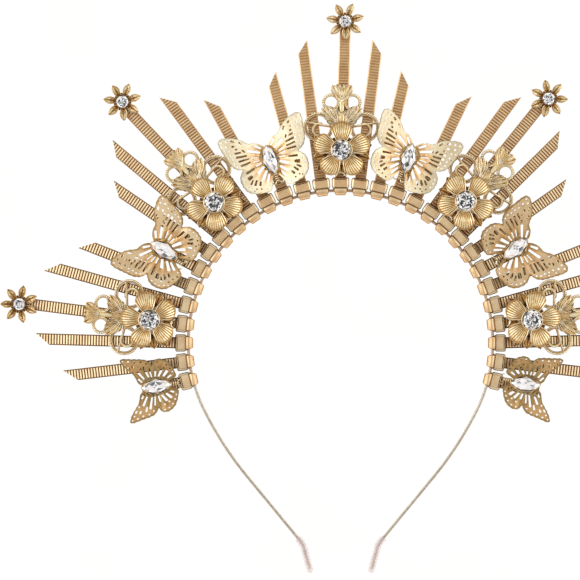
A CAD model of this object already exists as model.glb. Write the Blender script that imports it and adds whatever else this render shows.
import math

import bmesh
import bpy
import numpy as np
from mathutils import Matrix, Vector
from mathutils.geometry import delaunay_2d_cdt


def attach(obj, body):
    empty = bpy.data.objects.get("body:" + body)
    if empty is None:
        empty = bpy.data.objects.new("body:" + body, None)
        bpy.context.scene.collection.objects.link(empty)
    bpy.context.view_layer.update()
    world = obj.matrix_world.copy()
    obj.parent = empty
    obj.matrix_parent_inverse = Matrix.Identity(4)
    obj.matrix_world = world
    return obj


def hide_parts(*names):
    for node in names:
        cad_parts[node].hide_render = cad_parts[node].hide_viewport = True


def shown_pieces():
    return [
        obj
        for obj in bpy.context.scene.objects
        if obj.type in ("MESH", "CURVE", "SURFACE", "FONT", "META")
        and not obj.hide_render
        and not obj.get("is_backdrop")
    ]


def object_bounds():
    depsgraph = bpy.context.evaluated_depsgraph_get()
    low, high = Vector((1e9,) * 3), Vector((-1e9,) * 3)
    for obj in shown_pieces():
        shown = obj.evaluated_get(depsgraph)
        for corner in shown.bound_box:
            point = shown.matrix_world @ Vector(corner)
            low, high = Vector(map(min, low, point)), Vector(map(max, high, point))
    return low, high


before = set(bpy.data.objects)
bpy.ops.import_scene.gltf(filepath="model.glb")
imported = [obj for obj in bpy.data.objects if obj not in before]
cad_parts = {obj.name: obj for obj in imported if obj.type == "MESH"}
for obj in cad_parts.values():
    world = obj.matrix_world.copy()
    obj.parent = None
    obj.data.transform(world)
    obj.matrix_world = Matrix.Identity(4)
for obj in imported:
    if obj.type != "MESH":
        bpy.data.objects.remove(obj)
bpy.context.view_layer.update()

# Sizes are in millimetres until a piece is made, and angles in degrees. Those of rays count
# clockwise from the top of the crown.
mm = 0.001
crown = {
    "hoopRadius": 61.85,   # middle of the wire
    "wireHeight": 3.9,
    "strapAngle": 6.93,    # from strap to strap
    "deckHeight": 3.2,     # where the ornaments lie on the straps
    "tipRadius": 131.3,    # middles of the tip flowers
}


# Nodes and colours

def addNode(tree, kind, inputs=None, stops=(), **settings):
    # An input is a value, a socket, or a node whose first output goes in. The stops are those
    # of a colour ramp.
    made = tree.nodes.new(kind)
    for name, value in settings.items():
        setattr(made, name, value)
    for name, value in (inputs or {}).items():
        if isinstance(value, bpy.types.Node):
            value = value.outputs[0]
        if isinstance(value, bpy.types.NodeSocket):
            tree.links.new(value, made.inputs[name])
        else:
            made.inputs[name].default_value = value
    for i, (place, colour) in enumerate(stops):
        band = made.color_ramp.elements
        stop = band[i] if i < 2 else band.new(place)
        stop.position = place
        stop.color = linear(colour)
    return made


def addObject(name, data):
    made = bpy.data.objects.new(name, data)
    bpy.context.scene.collection.objects.link(made)
    return made


def linear(hexColour):
    parts = [int(hexColour[i:i + 2], 16) / 255 for i in (1, 3, 5)]
    return [c / 12.92 if c <= 0.04045 else ((c + 0.055) / 1.055) ** 2.4 for c in parts] + [1.0]


def startMaterial(name):
    made = bpy.data.materials.new(name)
    made.use_nodes = True
    made.node_tree.nodes.clear()
    return made, made.node_tree


def endMaterial(tree, inputs):
    shader = addNode(tree, "ShaderNodeBsdfPrincipled", inputs)
    addNode(tree, "ShaderNodeOutputMaterial", {"Surface": shader})


def endCoated(tree, place, skin, worn, low, high, inputs, grain=None):
    # The roughness goes from low to high as worn goes from 0 to 1. The grain is bump: its size
    # and depth in millimetres and its strength. An edge tint dulls gold that is seen aslant.
    rough = addNode(tree, "ShaderNodeMapRange", {"Value": worn, "To Min": low, "To Max": high})
    inputs = {"Base Color": skin, "Roughness": rough, **inputs}
    if grain:
        size, depth, strength = grain
        specks = addNode(tree, "ShaderNodeTexNoise", {
            "Vector": place, "Scale": 1 / (size * mm), "Detail": 2.0, "Roughness": 0.55})
        inputs["Normal"] = addNode(tree, "ShaderNodeBump", {
            "Height": specks, "Distance": depth * mm, "Strength": strength})
    endMaterial(tree, inputs)


def makeStrapGold():
    # Moulded nylon tie, vacuum metallised and lacquered: a soft peach gold sheen with slightly
    # wavy gloss, paler where the skin thins over raised edges and brown in the grooves.
    made, tree = startMaterial("metallisedNylonMoulded")
    place = addNode(tree, "ShaderNodeTexCoord").outputs["Object"]
    blotches = addNode(tree, "ShaderNodeTexNoise", {
        "Vector": place, "Scale": 1 / (5.0 * mm), "Detail": 3.0, "Roughness": 0.55})
    hollow = addNode(tree, "ShaderNodeAttribute", attribute_name="hollow").outputs["Fac"]
    skin = addNode(tree, "ShaderNodeValToRGB", {0: hollow}, [
        (0.0, "#FAF1D0"), (0.2, "#EACA9B"), (0.55, "#BF9668"), (1.0, "#745638")])
    shade = addNode(tree, "ShaderNodeValToRGB", {0: blotches}, [(0.3, "#E9DCD4"), (0.7, "#FFFFFF")])
    both = addNode(tree, "ShaderNodeMix", {0: 1.0, 6: skin, 7: shade}, data_type="RGBA",
                   blend_type="MULTIPLY")
    edgeTint = linear("#C9AE8C")
    orangePeel = (0.7, 0.02, 0.5)
    endCoated(tree, place, both.outputs[2], blotches, 0.36, 0.48,
              {"Metallic": 0.9, "Specular Tint": edgeTint}, orangePeel)
    return made


def makeCastGold():
    # Cast brass, antiqued and gold plated: pale gold where it was rubbed, brown lacquer left
    # in the hollows, a fine matt grain from the sand of the mould.
    made, tree = startMaterial("castBrassAntiqueGold")
    place = addNode(tree, "ShaderNodeTexCoord").outputs["Object"]
    noise = addNode(tree, "ShaderNodeTexNoise", {
        "Vector": place, "Scale": 1 / (1.8 * mm), "Detail": 4.0, "Roughness": 0.6})
    blotches = addNode(tree, "ShaderNodeMapRange", {"Value": noise, "To Min": -0.4, "To Max": 0.4})
    hollow = addNode(tree, "ShaderNodeAttribute", attribute_name="hollow").outputs["Fac"]
    worn = addNode(tree, "ShaderNodeMath", {0: blotches, 1: hollow}, operation="ADD",
                   use_clamp=True)
    skin = addNode(tree, "ShaderNodeValToRGB", {0: worn}, [
        (0.0, "#FFF8E0"), (0.2, "#F5E0AC"), (0.5, "#D2A466"), (1.0, "#66421E")])
    edgeTint = linear("#C2A070")
    castGrain = (0.35, 0.02, 0.5)
    endCoated(tree, place, skin, worn, 0.4, 0.54,
              {"Metallic": 1.0, "Specular Tint": edgeTint}, castGrain)
    return made


def makeWingGold():
    # Stamped brass sheet, gold plated and lacquered: a smooth satin cream gold, toned brown in
    # the creases beside the stone, with a fine grey-olive line where the rim is worn (hollow 0).
    made, tree = startMaterial("stampedBrassSatinGold")
    place = addNode(tree, "ShaderNodeTexCoord").outputs["Object"]
    blotches = addNode(tree, "ShaderNodeTexNoise", {
        "Vector": place, "Scale": 1 / (4.0 * mm), "Detail": 3.0, "Roughness": 0.55})
    hollow = addNode(tree, "ShaderNodeAttribute", attribute_name="hollow").outputs["Fac"]
    skin = addNode(tree, "ShaderNodeValToRGB", {0: hollow}, [
        (0.0, "#8C8770"), (0.08, "#CDC6AA"), (0.15, "#F5EFD6"), (0.2, "#F0E7C8"),
        (0.38, "#EBC28E"), (0.58, "#B89B68"), (0.8, "#A2967A"), (1.0, "#5A5242")])
    shade = addNode(tree, "ShaderNodeValToRGB", {0: blotches}, [(0.3, "#EFE4D6"), (0.7, "#FFFFFF")])
    both = addNode(tree, "ShaderNodeMix", {0: 1.0, 6: skin, 7: shade}, data_type="RGBA",
                   blend_type="MULTIPLY")
    edgeTint = linear("#B5AC90")
    rolledGrain = (0.5, 0.012, 0.5)  # coarser than a real one, to show
    endCoated(tree, place, both.outputs[2], blotches, 0.36, 0.46,
              {"Metallic": 1.0, "Specular Tint": edgeTint}, rolledGrain)
    return made


def makeWire():
    # Drawn steel wire, plated in champagne gold: a satin grey-beige line with faint die marks,
    # tinted tan where the straps' lacquer ran along it.
    made, tree = startMaterial("drawnSteelChampagne")
    place = addNode(tree, "ShaderNodeTexCoord").outputs["Object"]
    blotches = addNode(tree, "ShaderNodeTexNoise", {
        "Vector": place, "Scale": 1 / (1.2 * mm), "Detail": 2.0, "Roughness": 0.55})
    plating = addNode(tree, "ShaderNodeValToRGB", {0: blotches}, [
        (0.3, "#ADA495"), (0.7, "#C8BFB2")])
    tinted = addNode(tree, "ShaderNodeAttribute", attribute_name="hollow").outputs["Fac"]
    skin = addNode(tree, "ShaderNodeMix", {0: tinted, 6: plating, 7: linear("#B59880")},
                   data_type="RGBA")
    edgeTint = linear("#A89C8A")
    dieMarks = (0.4, 0.01, 0.4)  # coarser than real ones, to show
    endCoated(tree, place, skin.outputs[2], blotches, 0.3, 0.42,
              {"Metallic": 1.0, "Specular Tint": edgeTint}, dieMarks)
    return made


def makeSilicone():
    # Dipped clear silicone: a little milky, faintly pink, with soft-edged reflections. Its walls
    # are too thin to bend the light much, so the wire shows straight through them.
    made, tree = startMaterial("dippedSiliconeClear")
    place = addNode(tree, "ShaderNodeTexCoord").outputs["Object"]
    blotches = addNode(tree, "ShaderNodeTexNoise", {
        "Vector": place, "Scale": 1 / (2.5 * mm), "Detail": 2.0, "Roughness": 0.55})
    skin = addNode(tree, "ShaderNodeValToRGB", {0: blotches}, [(0.3, "#DCCAC7"), (0.7, "#E6D8D6")])
    endCoated(tree, place, skin, blotches, 0.08, 0.2, {"IOR": 1.41, "Alpha": 0.36})
    return made


def makeCrystal():
    # Cut glass on silver foil: each facet mirrors something else, from near black to white,
    # under a clear polished front.
    made, tree = startMaterial("cutGlassSilverFoil")
    tone = addNode(tree, "ShaderNodeAttribute", attribute_name="tone").outputs["Fac"]
    skin = addNode(tree, "ShaderNodeValToRGB", {0: tone}, [
        (0.0, "#15171B"), (0.3, "#6C7077"), (0.55, "#C9CCCE"), (0.8, "#FFFFFF")])
    # The facets that throw the lamps back are brighter than the room
    glow = addNode(tree, "ShaderNodeMapRange", {
        "Value": tone, "From Min": 0.7, "From Max": 1.0, "To Min": 0.0, "To Max": 0.35})
    endMaterial(tree, {
        "Base Color": skin, "Metallic": 0.85, "Roughness": 0.06, "Coat Weight": 1.0,
        "Coat Roughness": 0.02, "Coat IOR": 1.55, "Emission Color": linear("#F7F4FA"),
        "Emission Strength": glow})
    return made


def makeFloor():
    # Opal acrylic of a light table, matt: plain white, lit from below as well. Looked at, also
    # through the sleeves, it is just white, so its glare doesn't eat the edges of thin wire.
    made, tree = startMaterial("opalAcrylicLightTable")
    place = addNode(tree, "ShaderNodeTexCoord").outputs["Object"]
    blotches = addNode(tree, "ShaderNodeTexNoise", {
        "Vector": place, "Scale": 1 / (60.0 * mm), "Detail": 3.0, "Roughness": 0.55})
    skin = addNode(tree, "ShaderNodeValToRGB", {0: blotches}, [(0.3, "#FAF9F7"), (0.7, "#FDFCFB")])
    opal = addNode(tree, "ShaderNodeBsdfPrincipled", {
        "Base Color": skin, "Roughness": 0.9, "Emission Color": skin, "Emission Strength": 0.9})
    plain = addNode(tree, "ShaderNodeEmission", {"Color": skin, "Strength": 1.06})
    seen = addNode(tree, "ShaderNodeLightPath").outputs["Is Camera Ray"]
    surface = addNode(tree, "ShaderNodeMixShader", {0: seen, 1: opal, 2: plain})
    addNode(tree, "ShaderNodeOutputMaterial", {"Surface": surface})
    return made


materials = {  # by slot
    "gold_strap": makeStrapGold(), "cast_gold": makeCastGold(), "pierced_gold": makeWingGold(),
    "wire": makeWire(), "clear_silicone": makeSilicone(), "crystal": makeCrystal()}
sharpAngles = {  # by slot; an edge that turns more is sharp
    "gold_strap": 28, "cast_gold": 40, "pierced_gold": 40, "wire": 50, "clear_silicone": 50,
    "crystal": 2}
print("materials made")


# Shapes

def clipped(values):
    return np.clip(values, 0, 1)


class Shape:
    # Points in millimetres, each with a hollow value, and faces, each with a tone.
    def __init__(self):
        self.points, self.hollow, self.tones = np.empty((0, 3)), np.empty(0), np.empty(0)
        self.faces = []

    def add(self, points, faces, hollow=0.0, tone=0.5):
        start = len(self.points)
        self.points = np.concatenate([self.points, np.reshape(points, (-1, 3))])
        hollow = np.broadcast_to(hollow, len(self.points) - start)
        self.hollow = np.concatenate([self.hollow, hollow])
        self.tones = np.concatenate([self.tones, np.broadcast_to(tone, len(faces))])
        self.faces += [tuple(i + start for i in face) for face in faces]
        return self

    def join(self, other, move=None):
        # move is a function on points
        points = other.points if move is None else move(other.points)
        return self.add(points, other.faces, other.hollow, other.tones)

    def browner(self, more):
        self.hollow = clipped(self.hollow + more)
        return self


def turned(points, degrees, axis=2):
    c, s = math.cos(math.radians(degrees)), math.sin(math.radians(degrees))
    a, b = (axis + 1) % 3, (axis + 2) % 3
    made = np.array(points, float)
    made[:, a] = points[:, a] * c - points[:, b] * s
    made[:, b] = points[:, a] * s + points[:, b] * c
    return made


def placed(angle, radius, height=0.0, turn=0.0):
    # Moves points out from the crown's middle and turns them to a ray's angle.
    return lambda p: turned(turned(p, -turn) + [0, radius, height], -angle)


def mirrored(shape):
    made = Shape().join(shape, lambda p: p * [-1, 1, 1])
    made.faces = [face[::-1] for face in made.faces]
    return made


def bothSides(shape):
    return Shape().join(shape).join(mirrored(shape))


def ringFaces(ringCount, sides, closed=False):
    faces = []
    for i in range(ringCount if closed else ringCount - 1):
        a, b = i * sides, (i + 1) % ringCount * sides
        for j in range(sides):
            k = (j + 1) % sides
            faces.append((a + j, a + k, b + k, b + j))
    return faces


def unit(vectors):
    return vectors / np.linalg.norm(vectors, axis=-1)[..., None]


def fullTurn(sides):
    return 2 * math.pi * np.arange(sides) / sides


def distances(path):
    # How far along the path each of its points lies
    return np.concatenate([[0], np.cumsum(np.linalg.norm(np.diff(path, axis=0), axis=1))])


def pathAt(distance, run, path):
    return np.stack([np.interp(distance, run, values) for values in path.T], -1)


def lathe(profile, sides, hollow):
    # profile runs from the bottom pole outwards and up to the top pole, as (radius, height)
    points = [(r * math.cos(a), r * math.sin(a), z) for r, z in profile for a in fullTurn(sides)]
    return Shape().add(points, ringFaces(len(profile), sides),
                       np.repeat(np.broadcast_to(hollow, len(profile)), sides))


def smoothPath(points, steps):
    # A smooth curve through points
    p = np.array(points, float)
    p = np.concatenate([[2 * p[0] - p[1]], p, [2 * p[-1] - p[-2]]])
    made = []
    for a, b, c, d in zip(p, p[1:], p[2:], p[3:]):
        for t in np.arange(steps) / steps:
            made.append(0.5 * (2 * b + (c - a) * t + (2 * a - 5 * b + 4 * c - d) * t * t
                               + (3 * b - a - 3 * c + d) * t ** 3))
    return np.array(made + [p[-2]])


def tube(path, radius, sides, closed=False, flat=1.0, hollow=None):
    # Round rod along a path, with rounded ends of three rings each; flat squeezes it along Z
    p = np.array(path, float)
    shares = np.ones(len(p))
    if closed:
        along = unit(np.roll(p, -1, 0) - np.roll(p, 1, 0))
    else:
        along = unit(np.gradient(p, axis=0))
        far = radius * np.array([0.98, 0.75, 0.4])[:, None]
        size = [0.02, 0.66, 0.92]
        p = np.concatenate([p[0] - far * along[0], p, p[-1] + far[::-1] * along[-1]])
        along = np.concatenate([along[:1].repeat(3, 0), along, along[-1:].repeat(3, 0)])
        shares = np.concatenate([size, shares, size[::-1]])
    side = np.cross(along, [0, 0, 1.0])
    side[np.linalg.norm(side, axis=1) < 1e-3] = [1, 0, 0]
    side = unit(side)
    up = np.cross(side, along) * flat
    angles = fullTurn(sides)
    rings = (p[:, None] + radius * shares[:, None, None]
             * (np.cos(angles)[None, :, None] * side[:, None]
                + np.sin(angles)[None, :, None] * up[:, None]))
    if hollow is None:  # brown below, bright on top
        hollow = np.tile(clipped(0.55 - 0.75 * np.sin(angles)), len(p))
    return Shape().add(rings, ringFaces(len(p), sides, closed), hollow)


def slab(top, thickness, hollow):
    # Closed sheet: top is a grid of points, rows by columns, seen from above
    rows, columns = top.shape[:2]
    n = rows * columns
    faces = []
    for i in range(rows - 1):
        for j in range(columns - 1):
            a, b = i * columns + j, (i + 1) * columns + j
            faces.append((a, a + 1, b + 1, b))
            faces.append((n + a, n + b, n + b + 1, n + a + 1))
    edge = list(range(columns))
    edge += [i * columns + columns - 1 for i in range(1, rows)]
    edge += [(rows - 1) * columns + j for j in range(columns - 2, -1, -1)]
    edge += [i * columns for i in range(rows - 2, 0, -1)]
    faces += [(b, a, n + a, n + b) for a, b in zip(edge, edge[1:] + edge[:1])]
    hollow = np.broadcast_to(hollow, (rows, columns)).ravel()
    return Shape().add(np.concatenate([top, top - [0, 0, thickness]]), faces,
                       np.concatenate([hollow, clipped(hollow + 0.3)]))


def setValues(mesh, name, domain, values):
    made = mesh.attributes.new(name, "FLOAT", domain)
    made.data.foreach_set("value", np.array(values, np.float32))


def bareMesh(name, shape):
    mesh = bpy.data.meshes.new(name)
    mesh.from_pydata((shape.points * mm).tolist(), [], shape.faces)
    setValues(mesh, "hollow", "POINT", shape.hollow)
    return mesh


def addPiece(name, shape, slotName, nodes):
    mesh = bareMesh(name, shape)
    setValues(mesh, "tone", "FACE", shape.tones)
    mesh.materials.append(materials[slotName])
    bm = bmesh.new()
    bm.from_mesh(mesh)
    bmesh.ops.remove_doubles(bm, verts=bm.verts, dist=2e-7)
    bmesh.ops.dissolve_degenerate(bm, edges=bm.edges, dist=1e-7)
    bmesh.ops.recalc_face_normals(bm, faces=bm.faces)
    bm.to_mesh(mesh)
    bm.free()
    mesh.shade_smooth()
    mesh.set_sharp_from_angle(angle=math.radians(sharpAngles[slotName]))
    piece = addObject(name, mesh)
    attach(piece, "root")
    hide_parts(*nodes)


# Node trees for what repeats

def startTree(name, sockets):
    tree = bpy.data.node_groups.new(name, "GeometryNodeTree")
    tree.interface.new_socket("Geometry", in_out="INPUT", socket_type="NodeSocketGeometry")
    for label, kind, value in sockets:
        socket = tree.interface.new_socket(label, in_out="INPUT", socket_type="NodeSocket" + kind)
        if value is not None:
            socket.default_value = value
    tree.interface.new_socket("Geometry", in_out="OUTPUT", socket_type="NodeSocketGeometry")
    return tree, addNode(tree, "NodeGroupInput").outputs


def endTree(tree, geometry, material):
    real = addNode(tree, "GeometryNodeRealizeInstances", {0: geometry})
    painted = addNode(tree, "GeometryNodeSetMaterial", {"Geometry": real, "Material": material})
    addNode(tree, "NodeGroupOutput", {0: painted})
    return tree


def makeRowTree():
    # A straight row of copies of one part on a base, along Y
    tree, given = startTree("ribRow", [
        ("Part", "Object", None), ("Count", "Int", 10), ("Pitch", "Float", 1 * mm),
        ("Start", "Float", 0.0), ("Material", "Material", None)])
    start = addNode(tree, "ShaderNodeCombineXYZ", {"Y": given["Start"]})
    step = addNode(tree, "ShaderNodeCombineXYZ", {"Y": given["Pitch"]})
    line = addNode(tree, "GeometryNodeMeshLine", {
        "Count": given["Count"], "Start Location": start, "Offset": step})
    part = addNode(tree, "GeometryNodeObjectInfo", {"Object": given["Part"]}).outputs["Geometry"]
    copies = addNode(tree, "GeometryNodeInstanceOnPoints", {"Points": line, "Instance": part})
    both = addNode(tree, "GeometryNodeJoinGeometry", {0: copies})
    tree.links.new(given["Geometry"], both.inputs[0])
    return endTree(tree, both, given["Material"])


def makeRingTree():
    # Copies of the given part in a ring about Z
    tree, given = startTree("petalRing", [
        ("Count", "Int", 5), ("First Angle", "Float", 0.0), ("Material", "Material", None)])
    points = addNode(tree, "GeometryNodePoints", {"Count": given["Count"]})
    index = addNode(tree, "GeometryNodeInputIndex")
    step = addNode(tree, "ShaderNodeMath", {0: 2 * math.pi, 1: given["Count"]}, operation="DIVIDE")
    angle = addNode(tree, "ShaderNodeMath", {0: index, 1: step, 2: given["First Angle"]},
                    operation="MULTIPLY_ADD")
    turn = addNode(tree, "ShaderNodeCombineXYZ", {"Z": angle})
    copies = addNode(tree, "GeometryNodeInstanceOnPoints", {
        "Points": points, "Instance": given["Geometry"], "Rotation": turn})
    return endTree(tree, copies, given["Material"])


def makeBeadTree():
    # A low round bead on each point of the given mesh, sized by its beadSize attribute
    tree, given = startTree("beadRow", [
        ("Radius", "Float", 0.4 * mm), ("Squash", "Float", 0.8), ("Material", "Material", None)])
    bead = addNode(tree, "GeometryNodeMeshIcoSphere", {"Radius": given["Radius"], "Subdivisions": 2})
    size = addNode(tree, "GeometryNodeInputNamedAttribute", {"Name": "beadSize"})
    height = addNode(tree, "ShaderNodeMath", {0: size, 1: given["Squash"]}, operation="MULTIPLY")
    scale = addNode(tree, "ShaderNodeCombineXYZ", {"X": size, "Y": size, "Z": height})
    copies = addNode(tree, "GeometryNodeInstanceOnPoints", {
        "Points": given["Geometry"], "Instance": bead, "Scale": scale})
    return endTree(tree, copies, given["Material"])


rowTree, ringTree, beadTree = makeRowTree(), makeRingTree(), makeBeadTree()


def grown(shape, tree, values, sizes=None):
    # Runs a tree on a shape and gives the result back as a shape
    base = bareMesh("base", shape)
    if sizes is not None:
        setValues(base, "beadSize", "POINT", sizes)
    carrier = addObject("carrier", base)
    modifier = carrier.modifiers.new("grow", "NODES")
    modifier.node_group = tree
    for socket in tree.interface.items_tree:
        if socket.in_out == "INPUT" and socket.name in values:
            modifier[socket.identifier] = values[socket.name]
    carrier.update_tag()
    ready = carrier.evaluated_get(bpy.context.evaluated_depsgraph_get())
    mesh = bpy.data.meshes.new_from_object(ready)
    carrier.modifiers.remove(modifier)
    points = np.empty(len(mesh.vertices) * 3, np.float32)
    mesh.vertices.foreach_get("co", points)
    kept = mesh.attributes.get("hollow")
    hollow = np.zeros(len(mesh.vertices), np.float32)
    if kept is not None and kept.domain == "POINT":
        kept.data.foreach_get("value", hollow)
    made = Shape().add(points.astype(float) / mm, [tuple(face.vertices) for face in mesh.polygons],
                       hollow)
    bpy.data.objects.remove(carrier)
    bpy.data.meshes.remove(base)
    bpy.data.meshes.remove(mesh)
    return made


def beads(points, radius, sizes, squash=0.8, hollow=0.05):
    values = {"Radius": radius * mm, "Squash": squash, "Material": materials["cast_gold"]}
    made = grown(Shape().add(points, []), beadTree, values, sizes)
    made.hollow[:] = hollow
    return made


# Straps

strap = {
    "width": 4.6, "height": 1.15, "floor": 0.8, "rail": 0.46,
    "ribPitch": 1.142, "ribGap": 0.26,
    "back": 2.0,      # height of the underside
    "root": 64.2,     # where a strap starts, inside its head
    "tall": 132.3, "long": 124.0, "short": 113.4, "stub": 83.0,  # where the rays end
    "cut": 5.7,       # how far a slanted cut runs along the strap
    "tan": 0.58,      # the ribs' middle tone
    "tanLess": 0.36,  # how much paler it is where the ribs show least
}
rayKinds = ("tall long short stub short long tall long "
            "short stub short long tall long short stub").split()
rayLeans = [  # sideways lean of the left and right ray, by count from the top
    (1.7, 1.7), (-0.8, 0.2), (-1.6, -0.4), (0, 0), (-1.3, -1.9), (-1.6, 1.4), (-1.8, -2.9),
    (-1.8, -3.1), (-0.3, -0.5), (0, 0), (0.7, -0.7), (1.9, -1.9), (0.5, -0.5), (1.7, -1.7),
    (0.3, -0.3), (0, 0)]


def extruded(outline, low, high, axis, hollow):
    # outline is (across, up) for axis 1 and (along, up) for axis 0
    n = len(outline)
    points = []
    for end in (low, high):
        for a, z in outline:
            points.append((a, end, z) if axis == 1 else (end, a, z))
    faces = [(i, (i + 1) % n, n + (i + 1) % n, n + i) for i in range(n)]
    faces += [tuple(range(n))[::-1], tuple(range(n, 2 * n))]
    return Shape().add(points, faces, np.tile(hollow, 2))


def strapSection():
    w, r, h, f = strap["width"] / 2, strap["rail"], strap["height"], strap["floor"]
    half = [(w - 0.12, 0), (w, 0.12), (w, h - 0.36), (w - 0.04, h - 0.3), (w - 0.3, h - 0.1),
            (w - 0.34, h - 0.09), (w - r + 0.03, h - 0.12), (w - r, h - 0.2), (w - r - 0.02, f)]
    hollow = [1.0, 1.0, 1.0, 1.0, 0.8, 0.75, 0.8, 0.9, 1.0]
    outline = half + [(-x, z) for x, z in half[::-1]]
    return outline, hollow + hollow[::-1]


def ribShape():
    # Each rib leans outwards: a steep dark back towards the hoop, a bright crest, a long slope
    long = strap["ribPitch"] - strap["ribGap"]
    h, f = strap["height"], strap["floor"]
    outline = [(0, f - 0.1), (0.0, f + 0.08), (0.06, h - 0.1), (0.14, h - 0.01), (0.26, h),
               (0.5, h - 0.07), (long - 0.08, h - 0.2), (long, f + 0.05), (long, f - 0.1)]
    hollow = [1.0, 0.95, 0.5, 0.1, 0.03, 0.08, 0.22, 0.85, 1.0]
    inside = strap["width"] / 2 - strap["rail"] + 0.03
    return extruded(outline, -inside, inside, 0, hollow)


ribPart = bpy.data.objects.new("ribPart", bareMesh("ribPart", ribShape()))


def cutAway(shape, length, cut):
    # Cuts a strap's end off at a slant and closes it
    bm = bmesh.new()
    for p in shape.points:
        bm.verts.new(p)
    bm.verts.ensure_lookup_table()
    layer = bm.verts.layers.float.new("hollow")
    for v, value in zip(bm.verts, shape.hollow):
        v[layer] = value
    for face in shape.faces:
        bm.faces.new([bm.verts[i] for i in face])
    across = Vector((-cut * strap["cut"], strap["width"], 0)).normalized()
    bmesh.ops.bisect_plane(bm, geom=bm.verts[:] + bm.edges[:] + bm.faces[:], dist=1e-5,
                           plane_co=(cut * strap["width"] / 2, length, 0), plane_no=across,
                           clear_outer=True)
    bmesh.ops.holes_fill(bm, edges=[e for e in bm.edges if e.is_boundary], sides=0)
    bm.verts.ensure_lookup_table()
    made = Shape().add([v.co[:] for v in bm.verts],
                       [tuple(v.index for v in f.verts) for f in bm.faces],
                       [v[layer] for v in bm.verts])
    bm.free()
    return made


def strapShape(length, cut, contrast):
    section, hollow = strapSection()
    count = int((length - 1) / strap["ribPitch"])
    start = length - 0.6 - count * strap["ribPitch"]
    made = grown(extruded(section, 0, length, 1, hollow), rowTree, {
        "Part": ribPart, "Count": count, "Pitch": strap["ribPitch"] * mm,
        "Start": start * mm, "Material": materials["gold_strap"]})
    made = cutAway(made, length, cut) if cut else made
    # The lamps stand left and right, so the ribs of the upright straps show least. The strap
    # is darkest in the corner behind its head.
    x, y = made.points[:, 0], made.points[:, 1]
    corner = 0.25 * clipped(1.5 - (y - 3.0) / 0.9)
    rails = abs(x) > strap["width"] / 2 - strap["rail"] + 0.04
    between = strap["tan"] - strap["tanLess"] * (1 - contrast) + contrast * (made.hollow - strap["tan"])
    made.hollow = clipped(np.where(rails, contrast * made.hollow, between) + corner)
    return made


head = {
    "inner": 62.4, "outer": 67.2, "width": 7.0, "neck": 5.7, "depth": 5.2, "bevel": 0.75,
    "lip": 63.55,     # where the front ends at the loop
    "loopRadius": 1.9, "loopWidth": 5.3,
    "loopTip": 4.2,   # the loop's width on its inner side
    "channel": 0.75,  # radius of the hole for the wire
}


def insetOutline(outline, inset):
    # Moves each side of a convex outline inwards; inset is one number per side
    p = np.array(outline, float)
    n = len(p)
    made = []
    for i in range(n):
        corners = []
        for k in (i - 1, i):
            a, b = p[k % n], p[(k + 1) % n]
            way = (b - a) / np.linalg.norm(b - a)
            inward = np.array([-way[1], way[0]])
            corners.append((a + inward * inset[k % n], way))
        (a, u), (b, v) = corners
        t = np.linalg.solve(np.array([u, -v]).T, b - a)
        made.append(a + u * t[0])
    return np.array(made)


def headShape(upright):
    w, neck, low, high = head["width"] / 2, head["neck"] / 2, head["inner"], head["outer"]
    outline = [(-neck, low), (neck, low), (w, low + 1.1), (w, high - 0.5), (w - 0.5, high),
               (-w + 0.5, high), (-w, high - 0.5), (-w, low + 1.1)]
    # A narrow dark shoulder all round, then a bright bevel, widest along the sides
    share = np.array([0.4, 0.8, 1, 0.5, 0.15, 0.5, 1, 0.8])
    top, face = head["depth"], 0.22 - 0.1 * upright
    # height, inset all round, share of the bevel, hollow
    levels = [(0, 0.26, 0, 0.9), (0.1, 0.09, 0, 0.9), (0.35, 0, 0, 0.95), (top - 0.8, 0, 0, 1.0),
              (top - 0.62, 0.1, 0, 1.0), (top - 0.5, 0.24, 0, 0.95), (top - 0.47, 0.28, 0, 0.0),
              (top - 0.12, 0.3, 0.7, 0.0), (top - 0.08, 0.32, 0.76, 0.6),
              (top - 0.02, 0.36, 0.84, 0.45), (top, 0.41, 0.93, face), (top, 0.8, 1.05, face)]
    points, hollow = [], []
    for z, rim, slope, dark in levels:
        for x, y in insetOutline(outline, rim + share * slope * head["bevel"]):
            points.append((x, y, z))
            hollow.append(dark)
    n = len(outline)
    faces = ringFaces(len(levels), n)
    faces += [tuple(range(n))[::-1], tuple(range(len(points) - n, len(points)))]
    return Shape().add(points, faces, hollow)


def loopShape():
    # The loop round the wire: a short thick tube across the ray, narrower on its inner side
    r, hole, sides = head["loopRadius"], head["channel"], 48
    rings = [[] for _ in range(8)]
    for a in fullTurn(sides):
        y, z = math.cos(a), math.sin(a)
        reach = np.interp(y * r, [-r, -r + 1.6, r], [head["loopTip"], head["loopWidth"],
                                                     head["loopWidth"]]) / 2
        profile = [(-reach + 0.36, r), (reach - 0.36, r), (reach - 0.16, r - 0.08),
                   (reach, r - 0.34), (reach, hole), (-reach, hole), (-reach, r - 0.34),
                   (-reach + 0.16, r - 0.08)]
        for ring, (x, radius) in zip(rings, profile):
            ring.append((x, crown["hoopRadius"] + radius * y, crown["wireHeight"] + radius * z))
    # Dark in the corner at the head, bright along its top, darker again where it curves down
    turns = np.minimum(np.arange(sides), sides - np.arange(sides)) * 360 / sides
    around = np.interp(turns, [34, 58, 62, 69, 76, 86, 140, 152, 180],
                       [1.0, 1.0, 0.3, 0.25, 0.0, 0.18, 0.2, 0.8, 1.0])
    across = [0.0, 0.0, 0.6, 0.9, 1.0, 1.0, 0.9, 0.6]
    hollow = np.concatenate([clipped(around + more) for more in across])
    return Shape().add(rings, ringFaces(8, sides, True), hollow)


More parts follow.
